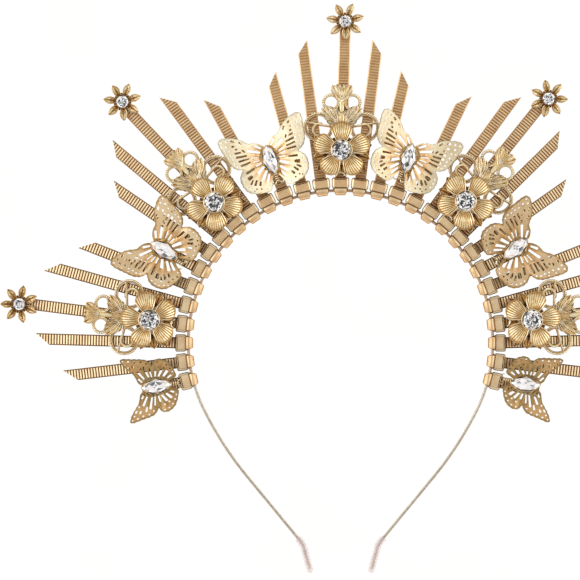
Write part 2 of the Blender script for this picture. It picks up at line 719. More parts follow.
def tieShape(side, k):
    lean = rayLeans[k][0 if side < 0 else 1]
    kind = rayKinds[k]
    length = (strap[kind] - strap["root"]) / math.cos(math.radians(lean))
    cut = 0 if kind in ("tall", "stub") else side * (-1 if k % 6 < 3 else 1)
    upright = abs(math.sin(math.radians(k * crown["strapAngle"])))
    made = Shape().join(headShape(upright)).join(loopShape())
    # Bright lip where the head's front ends at the loop
    lip, front = head["lip"], head["depth"] - 0.02
    made.join(tube([(-2.75, lip, front), (0, lip, front), (2.75, lip, front)], 0.16, 6))
    made.join(strapShape(length, cut, min(1.0, 0.12 + 1.1 * upright ** 2)),
              lambda p: turned(p, -lean) + [0, strap["root"], strap["back"]])
    return Shape().join(made, placed(side * k * crown["strapAngle"], 0))


def makeTies():
    addPiece("strapTop", tieShape(1, 0), "gold_strap", ["tie_top"])
    for k in range(1, len(rayKinds)):
        left, right, count = tieShape(-1, k), tieShape(1, k), "%02d" % k
        if rayKinds[k] == "stub":
            addPiece("strapPair" + count, left.join(right), "gold_strap", ["tie_pair_" + count])
        else:
            addPiece("strapLeft" + count, left, "gold_strap", ["tie_left_" + count])
            addPiece("strapRight" + count, right, "gold_strap", ["tie_right_" + count])
    print("straps made")


makeTies()


# Wire and sleeves

wire = {
    "radius": 0.6,
    "leaveAngle": 116.5,  # where the legs leave the circle
    "sleeveRadius": 1.5,
    "sleeveLead": 1.6,    # from the sleeve's rim to the end bend
    "sleeveTail": 10.5,   # from the end bend on, 2.2 past the wire
    "legs": [(142, 13), (33.5,), (8.6, -24), (8.3,)],  # (radius, turn) or (length,)
}


def legPath(stretches, step, skipped=0.0):
    # The left leg from where it leaves the circle, without the length that is skipped
    a = math.radians(wire["leaveAngle"])
    place = np.array([-math.sin(a), math.cos(a)]) * crown["hoopRadius"]
    heading = math.atan2(-math.sin(a), -math.cos(a))
    points, run = [place], [0.0]
    for stretch in stretches:
        if len(stretch) == 1:
            n, length, turn = max(2, int(stretch[0] / step)), stretch[0], 0.0
        else:
            length = stretch[0] * math.radians(abs(stretch[1]))
            n, turn = max(8, int(length / step)), math.radians(stretch[1])
        for _ in range(n):
            heading += turn / n / 2
            place = place + np.array([math.cos(heading), math.sin(heading)]) * length / n
            heading += turn / n / 2
            points.append(place)
            run.append(run[-1] + length / n)
    made = np.array(points)[np.array(run) >= skipped]
    return np.concatenate([made, np.full((len(made), 1), crown["wireHeight"])], 1)


def makeHoopWire():
    left = legPath(wire["legs"], 2.0)
    angles = np.radians(np.linspace(-wire["leaveAngle"], wire["leaveAngle"], 240))
    arc = np.stack([np.sin(angles), np.cos(angles), 0 * angles], 1) * crown["hoopRadius"]
    arc[:, 2] = crown["wireHeight"]
    path = np.concatenate([left[:0:-1], arc, left[1:] * [-1, 1, 1]])
    # Tinted as far as the last straps; the tube starts with three rings of its rounded end
    tinted = np.zeros(len(path) + 6)
    lastStrap = math.radians((len(rayKinds) - 1) * crown["strapAngle"])
    tinted[len(left) + 2:len(left) + 2 + len(arc)] = abs(angles) < lastStrap + 0.04
    addPiece("hoopWire", tube(path, wire["radius"], 16, hollow=np.repeat(tinted, 16)), "wire",
             ["headband"])


def sleeveShape():
    # A cap over the wire's end: from the bore's closed end out to the rim, then back outside
    curve, straight, bend, end = wire["legs"]
    r, bore = wire["sleeveRadius"], wire["radius"] + 0.05
    before, tail = straight[0] - wire["sleeveLead"], wire["sleeveTail"] - r
    middle = legPath([curve, (before,), (wire["sleeveLead"],), bend, (tail,)], 0.8,
                     curve[0] * math.radians(curve[1]) + before - 0.01)
    along = unit(np.gradient(middle, axis=0))
    side = np.cross(along, [0, 0, 1.0])
    run = distances(middle)
    inside = run[-1] - tail + end[0] + 0.05  # where the bore ends
    stations = [(inside, 0.01), (inside, bore)]
    stations += [(s, bore) for s in run[::-1] if s < inside - 0.3]
    stations += [(0, bore + 0.25), (0, r - 0.35), (0.12, r - 0.1), (0.4, r)]
    stations += [(s, r) for s in run if s > 0.7]
    stations += [(run[-1] + r * math.sin(a), r * math.cos(a))
                 for a in np.radians([18, 36, 52, 66, 78, 87, 89.7])]
    points, sides = [], 24
    for s, radius in stations:
        place = pathAt(s, run, middle) + along[-1] * max(0.0, s - run[-1])
        across = unit(pathAt(s, run, side))
        points += [place + radius * (across * math.cos(a) + np.array([0, 0, 1]) * math.sin(a))
                   for a in fullTurn(sides)]
    return Shape().add(points, ringFaces(len(stations), sides))


def makeWireAndSleeves():
    makeHoopWire()
    sleeve = sleeveShape()
    addPiece("sleeveLeft", sleeve, "clear_silicone", ["sleeve_left"])
    addPiece("sleeveRight", mirrored(sleeve), "clear_silicone", ["sleeve_right"])
    print("wire and sleeves made")


makeWireAndSleeves()


# Stones

def girdlePoint(turn, half, wide):
    # Outline of a stone at a turn from its point: a circle, or two arcs that meet in points
    x, y = math.sin(turn), half * math.cos(turn)
    if half == wide:
        return half * x, y
    r = (half * half + wide * wide) / (2 * wide)
    across = math.sqrt(max(0.0, r * r - y * y)) - (r - wide)
    return (1 if math.sin(turn) >= 0 else -1) * across, y


stoneCuts = {
    "round": {"half": 4.0, "wide": 4.0, "crownHeight": 1.2, "girdle": 0.24, "pavilion": 2.48,
              "tableShare": 0.72},
    "tip": {"half": 2.6, "wide": 2.6, "crownHeight": 0.75, "girdle": 0.15, "pavilion": 1.55,
            "tableShare": 0.72, "brightness": 0.12},
    "marquise": {"half": 6.0, "wide": 3.0, "crownHeight": 1.2, "girdle": 0.25, "pavilion": 1.7,
                 "tableShare": 0.66, "brightness": 0.3, "sides": 8, "inTable": (0.42,)},
}
stoneLifts = {"round": 4.7, "tip": 2.2, "marquise": 2.7}  # girdle above the deck


def cutStone(seed, half, wide, crownHeight, girdle, pavilion, tableShare, brightness=0.0,
             sides=16, inTable=(0.22, 0.5, 0.8)):
    # Brilliant cut. The table is divided as the facets below show through it, and each of
    # those throws back either the dark of the room or a lamp.
    dice = np.random.default_rng(seed)

    def ring(scale, z, shift):
        return [(*(scale * c for c in girdlePoint(2 * math.pi * ((i + shift) % sides) / sides,
                                                  half, wide)), z) for i in range(sides)]

    topZ = girdle + crownHeight
    shares = [share * tableShare for share in (*inTable, 1)]
    rings = [ring(share, topZ, 0.5 * ((len(shares) - 1 - i) % 2)) for i, share in enumerate(shares)]
    rings += [ring(0.86, girdle + crownHeight * 0.5, 0.5), ring(1, girdle, 0), ring(1, 0, 0)]
    points = [(0, 0, topZ)] + [p for r in rings for p in r] + [(0, 0, -pavilion)]
    tip = len(points) - 1
    faces, tones = [], []

    def facet(darkShare, whiteShare, *corners):
        throw = dice.random() + brightness
        tone = (dice.uniform(0.0, 0.18) if throw < darkShare else
                dice.uniform(0.8, 1.0) if throw > 1 - whiteShare else dice.uniform(0.3, 0.6))
        faces.append(corners)
        tones.append(tone)

    for i in range(sides):
        j = (i + 1) % sides
        facet(0.3, 0.4, 0, 1 + i, 1 + j)
    # Strips between two rings, each point of one ring between two of the other
    strips = [(0.42, 0.35, 0), (0.55, 0.25, 1), (0.35, 0.4, 0), (0.12, 0.5, 1), (0.2, 0.45, 0)]
    for k, (darkShare, whiteShare, late) in enumerate(strips[3 - len(inTable):]):
        a, b = 1 + k * sides, 1 + (k + 1) * sides
        for i in range(sides):
            j, h = (i + 1) % sides, (i - 1) % sides
            if late:
                facet(darkShare, whiteShare, a + i, b + i, a + j)
                facet(darkShare, whiteShare, b + h, b + i, a + i)
            else:
                facet(darkShare, whiteShare, a + i, b + j, a + j)
                facet(darkShare, whiteShare, b + i, b + j, a + i)
    low = tip - sides
    top = low - sides
    for i in range(sides):
        j = (i + 1) % sides
        facet(0, 0.2, top + i, low + i, low + j, top + j)
        facet(0, 0.2, low + i, tip, low + j)
    return Shape().add(points, faces, tone=tones)


def makeRoundStones():
    for n, (word, angle, radius, _) in enumerate(bracketPlaces):
        shape = Shape().join(cutStone(11 + n, **stoneCuts["round"]), placed(
            angle, radius, crown["deckHeight"] + stoneLifts["round"], 7.0 * n))
        addPiece("roundStone" + word, shape, "crystal", ["round_stone_" + nodeWord(word)])
    tips = Shape()
    for n, (_, k, side, _, beside, further) in enumerate(tipPlaces):
        tips.join(cutStone(31 + n, **stoneCuts["tip"]),
                  onRay(k, side, beside, further, stoneLifts["tip"], 11.0 * n))
    addPiece("tipStones", tips, "crystal", ["tip_stones"])
    print("round stones made")


def nodeWord(word):
    return "".join("_" + c.lower() if c.isupper() and i else c.lower()
                   for i, c in enumerate(word))


def onRay(k, side, beside, further, height, turn):
    # To the middle of the flower on a tall ray
    lean = rayLeans[k][0 if side < 0 else 1]
    out = (crown["tipRadius"] - strap["root"]) / math.cos(math.radians(lean)) + further
    base = placed(side * k * crown["strapAngle"], strap["root"], crown["deckHeight"] + height)
    return lambda p: base(turned(turned(p, -turn) + [beside, out, 0], -lean))


bracketPlaces = [  # name, angle, radius of the stone, tan
    ("LeftSide", -83.2, 78.3, 0.2), ("Left", -42, 76.8, 0.1), ("Top", 0.3, 78.3, 0.0),
    ("Right", 41.5, 76.8, 0.1), ("RightSide", 83.2, 78.3, 0.2)]
tipPlaces = [  # name, ray, side, turn, place beside the ray's line, place further out
    ("LeftSide", 12, -1, -7, -0.6, 0.2), ("Left", 6, -1, 12.5, 0.8, 0.8),
    ("Top", 0, 1, 175.5, -0.1, -0.7), ("Right", 6, 1, 2, 0.8, -1),
    ("RightSide", 12, 1, 7, 0.6, 0.2)]
makeRoundStones()


# Flower brackets

flower = {
    "lift": 1.1,          # the flower stands in the filigree
    "tilt": 6.0,
    "petalLook": {"rows": 26, "columns": 81, "grooves": 9, "dark": 0.14, "rootDark": 0.28,
                  "edgeDark": 0.12},
    "petalHalfWidths": [(3.4, 1.8), (6.0, 3.3), (7.8, 4.2), (9.0, 4.6), (10.0, 4.8), (13.0, 4.8)],
    "petalRim": [(0, 12.0), (0.3, 11.8), (0.55, 11.15), (0.75, 10.25), (0.9, 9.1), (1, 7.8)],
    "cupHeight": 4.0,
}


def fanLeaf(widths, rim, bend, rows, columns, grooves=0, depth=0.2, dark=0.1, rootDark=0.3,
            edgeDark=0.5, rimWidth=0.3, rimLift=0.2, thickness=0.5, base=None):
    # A leaf along Y. widths are half widths by distance from the root, rim the distance of its
    # far edge by share of the half width. Dark grooves fan out inside a bright raised rim.
    s = np.linspace(-1, 1, columns)[None, :]
    t = np.linspace(0, 1, rows)[:, None]
    start = widths[0][0]
    far = np.interp(abs(s), *zip(*rim))
    y = start + (far - start) * t
    half = np.interp(y, *zip(*widths))
    x = s * half
    edge = np.minimum((1 - abs(s)) * half, (1 - t) * (far - start))  # distance from the edge
    onRim = clipped(1.6 - edge / rimWidth)
    inside = 1 - clipped(1.9 - edge / rimWidth)
    fade = inside * clipped(t * 5)
    hollow = dark + rootDark * clipped(1.3 - t / 0.4) + 0 * s
    z = bend(x, y)
    if grooves:
        line = abs((s * (grooves + 1) / 2 + 0.5 * grooves) % 1 - 0.5)
        groove = np.exp(-(line / 0.15) ** 2) * fade
        z = z - depth * groove
        hollow = hollow + groove * (0.65 - 0.25 * t)
    beside = np.exp(-((edge - 2.0 * rimWidth) / (0.6 * rimWidth)) ** 2) * clipped(t * 4)
    hollow = clipped(hollow + 0.35 * beside) * (1 - onRim)
    hollow = np.where(edge < 1e-6, edgeDark, hollow)
    z = z + rimLift * onRim
    made = slab(np.stack([x, y, z], 2), thickness, hollow)
    if base is not None:
        made.points[rows * columns:, 2] = base
    return made


def petalShape():
    def bowl(x, y):
        return 8.7 - np.sqrt(np.maximum(1.0, 8.3 ** 2 - x * x - (y - 7.44) ** 2))

    petal = fanLeaf(flower["petalHalfWidths"], flower["petalRim"], bowl, **flower["petalLook"])
    return Shape().join(petal, lambda p: turned(p, flower["tilt"], 0))


def bladeWidths(length, width, start, peak):
    # Half widths of a pointed leaf that is widest at the peak
    steps, power = 12, math.log(0.5) / math.log(peak)
    return [(start + (length - start) * i / steps,
             width / 2 * math.sin(math.pi * (i / steps) ** power) ** 0.8 if 0 < i < steps else 0.03)
            for i in range(steps + 1)]


def blade(length, width, angle=0.0, x=0.0, y=0.0, z=0.0, start=0.0, peak=0.66, bow=0.0, **look):
    # A pointed leaf with its root at x, y and its tip at an angle clockwise from outward
    leaf = fanLeaf(bladeWidths(length, width, start, peak), [(0, length), (1, length)],
                   lambda u, v: z + bow * np.sin(math.pi * v / length), **look)
    return leaf, lambda p: turned(p, -angle) + [x, y, 0]


def rope(path, radius, strand, pitch):
    # Two strands twisted round a path
    run, sides = distances(path), 6
    at = np.linspace(0, run[-1], max(12, int(run[-1] / pitch * 7)))
    line = pathAt(at, run, path)
    side = np.cross(unit(np.gradient(line, axis=0)), [0, 0, 1.0])
    made = Shape()
    for phase in (0, math.pi):
        a = 2 * math.pi * at / pitch + phase
        strandPath = line + radius * (np.cos(a)[:, None] * side + 0.7 * np.sin(a)[:, None]
                                      * np.array([0, 0, 1.0]))
        # The strand is darkest where it dives under the other one
        shadow = clipped(0.32 - 0.5 * np.sin(a))[:, None]
        dark = clipped(shadow + 0.15 - 0.35 * np.sin(fullTurn(sides))[None])
        dark = np.concatenate([dark[:1].repeat(3, 0), dark, dark[-1:].repeat(3, 0)])
        made.join(tube(strandPath, strand, sides, hollow=dark.ravel()))
    return made


def arcPath(x, y, r, start, end, z, n):
    a = np.radians(np.linspace(start, end, n))
    return np.stack([x + r * np.cos(a), y + r * np.sin(a), np.full(n, z)], 1)


def sepalShape(reach, width):
    # A brown leaf, hollow like an ear, that shows beside a petal
    leaf, move = blade(reach, width, start=4.0, peak=0.68, z=1.1, grooves=1, depth=0.2,
                       rows=18, columns=21, dark=0.5, rootDark=0.45, rimWidth=0.36, rimLift=0.4,
                       base=0.1)
    return Shape().join(leaf, move)


castLeaf = {"grooves": 1, "depth": 0.35, "columns": 25, "rimWidth": 0.26, "rimLift": 0.3,
            "base": 0.1}
acanthusLobes = [  # angle from outward, length, height of the top; the last lies uppermost
    (15, 6.9, 1.3), (74, 4.7, 1.25), (27, 9.1, 1.45), (62, 6.5, 1.4), (36, 10.5, 1.6),
    (54, 8.8, 1.55), (46, 10.6, 1.7)]


def acanthusShape(tan):
    # A broad leaf of pointed lobes, each with a dark vein and a bead at its tip
    made = Shape()
    rows = []
    for n, (angle, length, top) in enumerate(acanthusLobes):
        made.join(*blade(length, 2.9, angle, 0.6, 9.7, top, peak=0.72, bow=0.35, rows=18,
                         dark=0.04 + tan, rootDark=0.25, edgeDark=1.0, **castLeaf))
        a = math.radians(angle)
        for far, aside, size in ((0.4, 0, 1.0), (1.8, 0.9, 0.8), (1.8, -0.9, 0.8)):
            if n > 1:
                rows.append((0.6 + (length - far) * math.sin(a) + aside * math.cos(a),
                             9.7 + (length - far) * math.cos(a) - aside * math.sin(a), top, size))
    rows = np.array(rows)
    return made.join(beads(rows[:, :3], 0.45, rows[:, 3], 0.6, 0.05 + tan))


def ringBand(x, y, radius, width, start, end, n, z=0.5):
    # A flat band, dark along its edges, with a twisted outer wire and a plain inner one
    made = tube(arcPath(x, y, radius, start, end, z, n), width / 2 - 0.02, 8, flat=0.5, hollow=0.75)
    made.join(rope(arcPath(x, y, radius + width / 2 - 0.42, start, end, z + 0.3, n), 0.13, 0.2, 1.1))
    return made.join(tube(arcPath(x, y, radius - width / 2 + 0.4, start, end, z + 0.24, n), 0.2, 6,
                          hollow=0.15))


def filigreeShape(tan):
    # tan is how much brown the lacquer left on this casting
    made = Shape()
    # Plate behind the flower and half-round stem
    made.join(lathe([(0.01, 0), (5.8, 0), (6.0, 0.2), (6.0, 1.0), (5.8, 1.2), (0.01, 1.2)], 40,
                    hollow=0.85))
    made.join(tube([(0, y, 0.55) for y in np.linspace(10, 20.5, 12)], 1.15, 12, flat=0.55,
                   hollow=np.tile([0.8, 0.4, 0.2, 0.12, 0.2, 0.4, 0.8, 0.9, 0.9, 0.9, 0.9, 0.9], 18)))
    # Fan between the acanthus leaves
    for angle, length in ((-40, 4.2), (40, 4.2), (-20, 5.0), (20, 5.0), (0, 5.6)):
        made.join(*blade(length, 2.0, angle, 0, 9.8, 1.8 if angle else 2.1, rows=12, columns=13,
                         peak=0.6, base=0.1, rimWidth=0.22, rimLift=0.25, dark=0.1 + tan,
                         edgeDark=0.8))
    # Palmette of five pointed leaves, the middle one in front
    for angle in (0, -17, 17, -34, 34):
        made.join(*blade(6.3 + abs(angle) / 40, 3.6, angle, 0, 20.4, 1.0 + abs(angle) / 150,
                         bow=0.4, rows=20, dark=0.06 + tan, rootDark=0.2, edgeDark=0.8,
                         **castLeaf))
    # Pale collar below the palmette
    for side in (-1, 1):
        made.join(tube(smoothPath([(0, 19.6, 0.9), (side * 1.3, 20.9, 1.2), (side * 2.5, 22.3, 1.2),
                                   (side * 3.3, 23.4, 1.0)], 10), 0.42, 8, hollow=0.1 + tan))
    half = Shape()
    # Open ring beside the stem
    half.join(ringBand(4.4, 19.4, 3.0, 1.3, -75, 250, 44))
    half.join(acanthusShape(tan))
    # Large outer ring, its open inner curl and the bars that hold them
    half.join(ringBand(9.4, 9.2, 5.35, 1.5, -178, 178, 90))
    half.join(ringBand(9.2, 8.2, 2.5, 1.25, -110, 110, 40, 0.8))
    half.join(tube([(3.3, 9.4, 0.6), (8.6, 10.2, 0.7), (14.0, 11.1, 0.6)], 0.5, 8, flat=0.8,
                   hollow=0.55))
    half.join(rope(smoothPath([(3.3, 9.6, 0.9), (8.6, 10.4, 1.1), (14.2, 11.4, 1.0)], 10),
                   0.13, 0.2, 1.1))
    half.join(tube([(10.8, 6.2, 0.6), (10.9, 5.0, 0.6), (11.0, 3.9, 0.6)], 0.55, 8, hollow=0.4))
    half.join(tube([(3.5, 3.6, 0.6), (4.6, 4.8, 0.6), (5.3, 5.5, 0.6)], 0.45, 8, hollow=0.4))
    for angle, reach, width in ((107, 12.0, 4.0), (130.5, 12.9, 3.6), (80, 12.5, 3.4)):
        half.join(sepalShape(reach, width), lambda p, a=angle: turned(p, -a))
    made.join(bothSides(half))
    made.join(sepalShape(9.8, 3.6), lambda p: turned(p, 180))
    # Small ring between the two lower petals and the bright hook at the heads
    made.join(tube(arcPath(-0.4, -10.7, 1.8, 14, 166, 1.0, 14), 0.32, 8, hollow=0.02))
    made.join(tube(arcPath(0, -6.5, 2.45, 0, 350, 0.7, 30), 0.4, 8, closed=True, hollow=0.3))
    # Beads along the rings
    rows = [(9.4 + 5.9 * math.cos(a), 9.2 + 5.9 * math.sin(a), 1.0, 0.8)
            for a in np.radians(np.linspace(20, 150, 13))]
    rows += [(4.4 + 3.2 * math.cos(a), 19.4 + 3.2 * math.sin(a), 1.0, 0.8)
             for a in np.radians(np.linspace(-50, 75, 10))]
    rows = np.array(rows)
    both = np.concatenate([rows, rows * [-1, 1, 1, 1]])
    made.join(beads(both[:, :3], 0.5, both[:, 3]))
    return made


def cupShape(stoneRadius, height, wall=0.4, tan=0.0):
    r = stoneRadius
    return lathe([(0.01, 0), (r + wall - 0.1, 0), (r + wall, 0.15), (r + wall, height - 0.35),
                  (r + wall - 0.08, height - 0.08), (r + 0.18, height), (r + 0.06, height - 0.12),
                  (r + 0.05, height - 0.5), (0.3 * r, height - 1.2 - 0.42 * r),
                  (0.01, height - 1.3 - 0.5 * r)], 48,
                 hollow=[1, 1, 0.9, 0.45 + tan, 0.05 + tan, tan, 0.3 + tan, 0.9, 1, 1])


def makeBrackets():
    petals = grown(petalShape(), ringTree, {"Count": 5, "First Angle": 0.0,
                                            "Material": materials["cast_gold"]})
    bloom = petals.join(cupShape(stoneCuts["round"]["half"], flower["cupHeight"]))
    castings = {}  # by tan
    for word, angle, radius, tan in bracketPlaces:
        if tan not in castings:
            castings[tan] = filigreeShape(tan).join(bloom, placed(0, 0, flower["lift"]))
        shape = Shape().join(castings[tan], placed(angle, radius, crown["deckHeight"]))
        addPiece("flowerBracket" + word, shape, "cast_gold", ["flower_bracket_" + nodeWord(word)])
    print("flower brackets made,", len(shape.faces), "faces each")


makeBrackets()


# Butterflies

butterfly = {
    "thickness": 0.5, "stretch": 1.08, "rootUp": 0.4, "rootHeight": 0.55,
    "cupHeight": 3.2,
}
wingOutline = [  # sideways, outward
    (0, 3.5), (0.6, 5.2), (2, 7), (4, 8.2), (6.4, 8.8), (7.6, 10), (9.6, 11.9),
    (12.4, 13.4), (15.2, 14.2), (16.8, 13.8), (17.4, 12.4), (17.2, 10), (16.6, 7),
    (16, 4), (15.2, 2), (13.6, 0.2), (11.8, -0.7), (13.2, -2.4), (14, -4.6),
    (13.7, -7.6), (12.5, -10), (10, -11.6), (6.6, -12.4), (4.4, -12.4), (3, -11.2),
    (2, -8.4), (0, -5.4)]
wingSlots = [  # middle sideways and outward, angle, length, width
    (3.2, 6.2, 42, 3.2, 1.0), (5.4, 5.0, 28, 5.6, 1.1), (5.7, 2.5, 16, 3.2, 0.5),
    (5.6, 0.9, 5, 3.0, 0.5), (5.0, -0.7, -10, 2.8, 0.6), (5.0, -3.1, -33, 4.2, 1.3),
    (4.2, -5.6, -50, 4.4, 1.3), (3.2, -7.2, -62, 3.8, 1.1),
    (11.5, 6.6, 10, 2.7, 0.8), (10.6, 4.7, 8, 4.6, 0.9), (10.2, 3.0, 4, 4.4, 0.8),
    (10.0, 1.3, -4, 4.3, 0.8), (9.2, -2.0, -15, 3.8, 0.9), (10.1, -4.6, -20, 2.4, 1.5),
    (10.1, -6.6, -45, 2.2, 0.8), (8.7, -7.3, -55, 2.5, 0.9), (7.1, -8.2, -62, 1.9, 0.9),
    (9.3, 10.0, 57, 1.8, 0.7), (9.1, 6.5, 60, 1.5, 0.7), (12.0, 11.7, 33, 1.6, 0.9),
    (12.4, 9.7, 10, 1.2, 0.9), (11.6, 8.2, 20, 1.1, 0.8)]
wingDots = [  # sideways, outward, diameter
    (16.0, 12.7, 1.1), (14.2, 12.4, 1.1), (14.9, 10.5, 1.2), (14.3, 8.4, 1.0),
    (14.3, 6.5, 1.0), (14.0, 4.7, 1.0), (14.0, 3.0, 1.0), (13.2, 1.4, 1.0),
    (15.8, 8.9, 0.8), (15.4, 5.9, 0.8), (12.7, -3.9, 0.9), (12.8, -5.7, 0.9),
    (12.4, -7.5, 0.9), (11.3, -9.0, 1.0), (9.2, -9.8, 0.9), (7.4, -10.4, 0.9),
    (5.5, -11.2, 0.9), (3.9, -10.4, 0.9), (10.3, -10.4, 0.8)]
smallOutline = [
    (0, 3.5), (1.2, 5.2), (2.6, 6.6), (4.4, 7.2), (6.2, 7.9), (8.2, 9.6), (10.5, 11.4),
    (12.4, 12.3), (13.2, 12), (13.2, 10.4), (12.6, 7.4), (12, 4), (11.2, 1.8),
    (9.6, 0.4), (8.9, -0.1), (10.2, -0.8), (11, -2.4), (10.8, -4.4), (9.4, -6.6),
    (7.2, -8), (5, -8.8), (3.4, -9.2), (2.4, -8.4), (1.6, -6.6), (0, -4.4)]
smallSlots = [
    (3.4, 5.6, 36, 2.4, 0.8), (5.5, 5.0, 32, 4.4, 0.9), (8.8, 4.9, 22, 2.2, 0.8),
    (6.6, 2.7, 17, 5.2, 0.9), (5.9, 1.0, 8, 4.0, 0.6), (5.3, -0.9, -12, 2.8, 0.7),
    (5.3, -2.9, -34, 3.6, 1.0), (4.7, -4.9, -44, 3.2, 1.1), (3.2, -6.3, -60, 2.2, 0.8),
    (9.6, 7.6, 40, 1.5, 0.8), (9.2, 9.3, 38, 1.4, 0.8)]
smallDots = [
    (12.3, 11.3, 0.9), (11.9, 9.1, 1.1), (11.3, 6.7, 1.1), (11.0, 4.2, 1.0), (9.9, 2.1, 1.0),
    (10.8, 10.3, 1.0), (7.4, 7.8, 1.0), (10.0, -2.4, 1.0), (9.6, -4.3, 1.0), (8.3, -6.0, 1.0),
    (6.6, -7.2, 1.0), (4.9, -7.9, 0.9), (8.0, -2.8, 1.0), (7.1, -4.7, 1.0)]
butterflyPlaces = [  # name, angle, radius, turn, turn of the stone, wings, wing lifts, tan
    ("LeftLow", -103.3, 77, 3.5, 2, "small", 22, 22, 0.26),
    ("LeftMid", -62.4, 81, 9.5, -6, "large", 20, 18, 0.12),
    ("LeftTop", -21, 79.6, 1, 1.5, "large", 18, 18, 0.02),
    ("RightTop", 20.2, 79.9, 4.8, -9, "large", 22, 12, 0.06),
    ("RightMid", 61.7, 81, -0.6, -10, "large", 26, 12, 0.14),
    ("RightLow", 102.6, 77, 0, -8, "small", 22, 22, 0.26)]


def slotOutline(x, y, angle, length, width):
    # Rounded slot, a little narrower towards the stone
    u = np.array([math.cos(math.radians(angle)), math.sin(math.radians(angle))])
    v = np.array([-u[1], u[0]])
    made = []
    for end, half in ((1, width * 0.57), (-1, width * 0.41)):
        for a in np.radians(np.linspace(-80, 80, 5)):
            out = length / 2 - half * 0.6 * (1 - math.cos(a))
            made.append(np.array([x, y]) + end * (u * out + v * half * math.sin(a)))
    return made


def scalloped(outline):
    # The same outline as a smooth line, with shallow scallops along the outer margin
    path = smoothPath(outline, 10)
    run = distances(path)
    steps = np.arange(0, run[-1], 0.33)
    line = pathAt(steps, run, path)
    way = unit(np.gradient(line, axis=0))
    out = np.stack([-way[:, 1], way[:, 0]], 1)
    far = clipped((np.hypot(line[:, 0], line[:, 1]) - 9) / 3)
    depth = 0.2 * far * (np.abs(np.sin(math.pi * steps / 2.1)) - 0.75)
    return line + out * depth[:, None]


def inOutline(points, outline):
    x, y = points[:, 0], points[:, 1]
    inside = np.zeros(len(points), bool)
    n = len(outline)
    for i in range(n):
        (ax, ay), (bx, by) = outline[i], outline[(i + 1) % n]
        crossing = (ay > y) != (by > y)
        with np.errstate(divide="ignore", invalid="ignore"):
            at = ax + (y - ay) * (bx - ax) / (by - ay)
        inside ^= crossing & (x < at)
    return inside


def gapTo(points, loop):
    # How far each point lies from the nearest point of a loop
    loop = np.array(loop)
    return np.min(np.hypot(points[:, None, 0] - loop[None, :, 0],
                           points[:, None, 1] - loop[None, :, 1]), axis=1)


def flatWing(outline, slots, dots):
    # The pierced sheet, flat, with a small bevel along every cut edge, and the margin of each
    # point: how far it lies from the outline
    loops = [scalloped(outline)]
    loops += [slotOutline(*s) for s in slots]
    for x, y, d in dots:
        loops.append([(x + 0.4 * d * math.cos(a), y + 0.4 * d * math.sin(a))
                      for a in np.linspace(0, 2 * math.pi, 10, endpoint=False)])
    grid = np.array([(x, y) for x in np.arange(0.4, 18, 0.75)
                     for y in np.arange(-12.6, 14.6, 0.75)])
    keep = inOutline(grid, loops[0]) & (gapTo(grid, loops[0]) > 0.4)
    for loop in loops[1:]:
        keep &= (gapTo(grid, loop) > 0.4) & ~inOutline(grid, loop)
    points, edges = [], []
    for loop in loops:
        start = len(points)
        points += [Vector((float(p[0]), float(p[1]))) for p in loop]
        n = len(loop)
        edges += [(start + i, start + (i + 1) % n) for i in range(n)]
    points += [Vector((float(x), float(y))) for x, y in grid[keep]]
    flat, _, triangles, *_ = delaunay_2d_cdt(points, edges, [], 1, 1e-5)
    middles = np.array([np.mean([flat[i][:] for i in t], axis=0) for t in triangles])
    kept = inOutline(middles, loops[0])
    for loop in loops[1:]:
        kept &= ~inOutline(middles, loop)
    triangles = [t for t, keep in zip(triangles, kept) if keep]
    used = sorted({i for t in triangles for i in t})
    order = {old: new for new, old in enumerate(used)}
    bm = bmesh.new()
    top = [bm.verts.new((flat[i][0], flat[i][1], 0)) for i in used]
    for t in triangles:
        bm.faces.new([top[order[i]] for i in t])
    bmesh.ops.recalc_face_normals(bm, faces=bm.faces)
    if sum(f.normal.z for f in bm.faces) > 0:
        bmesh.ops.reverse_faces(bm, faces=bm.faces)
    grownFaces = bmesh.ops.extrude_face_region(bm, geom=bm.faces[:])
    for item in grownFaces["geom"]:
        if isinstance(item, bmesh.types.BMVert):
            item.co.z = butterfly["thickness"]
    bm.normal_update()
    rims = [e for e in bm.edges if len(e.link_faces) == 2 and
            abs(e.link_faces[0].normal.z - e.link_faces[1].normal.z) > 0.5
            and max(f.normal.z for f in e.link_faces) > 0.5]
    bmesh.ops.bevel(bm, geom=rims, offset=0.15, segments=2, profile=0.6, affect="EDGES",
                    clamp_overlap=True)
    bm.verts.ensure_lookup_table()
    made = np.array([v.co[:] for v in bm.verts])
    faces = [tuple(v.index for v in f.verts) for f in bm.faces]
    bm.free()
    return made, faces, gapTo(made, loops[0])


wings = {"large": flatWing(wingOutline, wingSlots, wingDots),
         "small": flatWing(smallOutline, smallSlots, smallDots)}
print("wings cut out,", [len(faces) for _, faces, _ in wings.values()], "faces")


